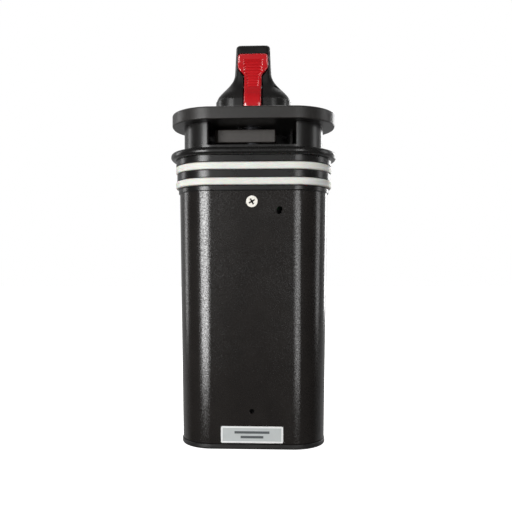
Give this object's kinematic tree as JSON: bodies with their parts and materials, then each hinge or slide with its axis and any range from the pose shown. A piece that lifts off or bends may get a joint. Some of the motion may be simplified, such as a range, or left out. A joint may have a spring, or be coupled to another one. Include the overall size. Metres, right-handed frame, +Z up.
{
  "type": "plug-in battery cartridge",
  "caption": "Tall black sealed battery cartridge with white ring seals, a flange and a quarter-turn knob with a red safety lever.",
  "frame": {"origin": "middle of the flat bottom face of the bottom cap", "axes": "+Z up the cartridge to the knob, -Y to the front with the red lever and the label, +X to the right seen from the front"},
  "size_m": [0.114, 0.064, 0.2724],
  "materials": {
    "case_black": "fine moulded grain, satin",
    "cap_black": "satin moulded",
    "connector_black": "satin moulded, glass filled",
    "head_black": "satin gloss moulded",
    "flange_black": "satin moulded",
    "knob_black": "smooth satin moulded",
    "lever_red": "glossy moulded",
    "seal_white": "smooth moulded silicone",
    "bush_white": "turned acetal",
    "screw_steel": "zinc plated",
    "pin_steel": "ground stainless",
    "blackened_steel": "turned, black oxide",
    "spring_steel": "drawn stainless wire",
    "bar_grey": "glass filled nylon, dry satin",
    "contact_brass": "turned, plated",
    "nickel": "rolled nickel strip",
    "cell_wrap": "heat-shrunk sleeve",
    "holder_grey": "moulded",
    "fibre_sheet": "fish paper",
    "foam": "closed-cell foam",
    "board_green": "solder mask",
    "component_black": "moulded epoxy",
    "lead_red": "silicone insulation",
    "lead_black": "silicone insulation",
    "label_grey": "printed film, satin"
  },
  "bodies": {
    "housing": {"body_shell": "case_black", "bottom_cap": "cap_black", "cap_screws": "screw_steel", "connector_block": "connector_black", "connector_screws": "screw_steel", "power_sockets": "contact_brass", "signal_sockets": "contact_brass", "lower_cells": "cell_wrap", "upper_cells": "cell_wrap", "cell_holder_bottom": "holder_grey", "cell_holder_lower_middle": "holder_grey", "cell_holder_upper_middle": "holder_grey", "cell_holder_top": "holder_grey", "bottom_strip": "nickel", "middle_strips": "nickel", "top_strips": "nickel", "layer_insulator": "fibre_sheet", "lower_foam_pad": "foam", "upper_foam_pad": "foam", "protection_board": "board_green", "board_components": "component_black", "positive_lead": "lead_red", "negative_lead": "lead_black", "seal_carrier": "head_black", "threaded_inserts": "contact_brass", "case_screws": "screw_steel", "lower_seal": "seal_white", "upper_seal": "seal_white", "top_flange": "flange_black", "flange_screws": "screw_steel", "spindle_bush": "bush_white", "stop_pin": "pin_steel", "rating_label": "label_grey"},
    "knob": {"knob": "knob_black", "spindle": "blackened_steel", "drive_pin": "pin_steel", "lever_pin": "pin_steel", "lever_spring": "spring_steel", "locking_bar": "bar_grey", "bar_washer": "blackened_steel", "bar_screw": "blackened_steel"},
    "lever": {"red_lever": "lever_red"}
  },
  "joints": [
    {"name": "knob_turn", "type": "hinge", "parent": "housing", "child": "knob", "pos_m": [0, 0, 0.2204], "axis": [0, 0, 1], "range_deg": [0, 90]},
    {"name": "lever_press", "type": "hinge", "parent": "knob", "child": "lever", "pos_m": [0, -0.0075, 0.243], "axis": [-1, 0, 0], "range_deg": [0, 8], "stiffness_Nm_per_rad": 0.25, "springref_deg": -8.59, "deforming": ["lever_spring"]}
  ]
}
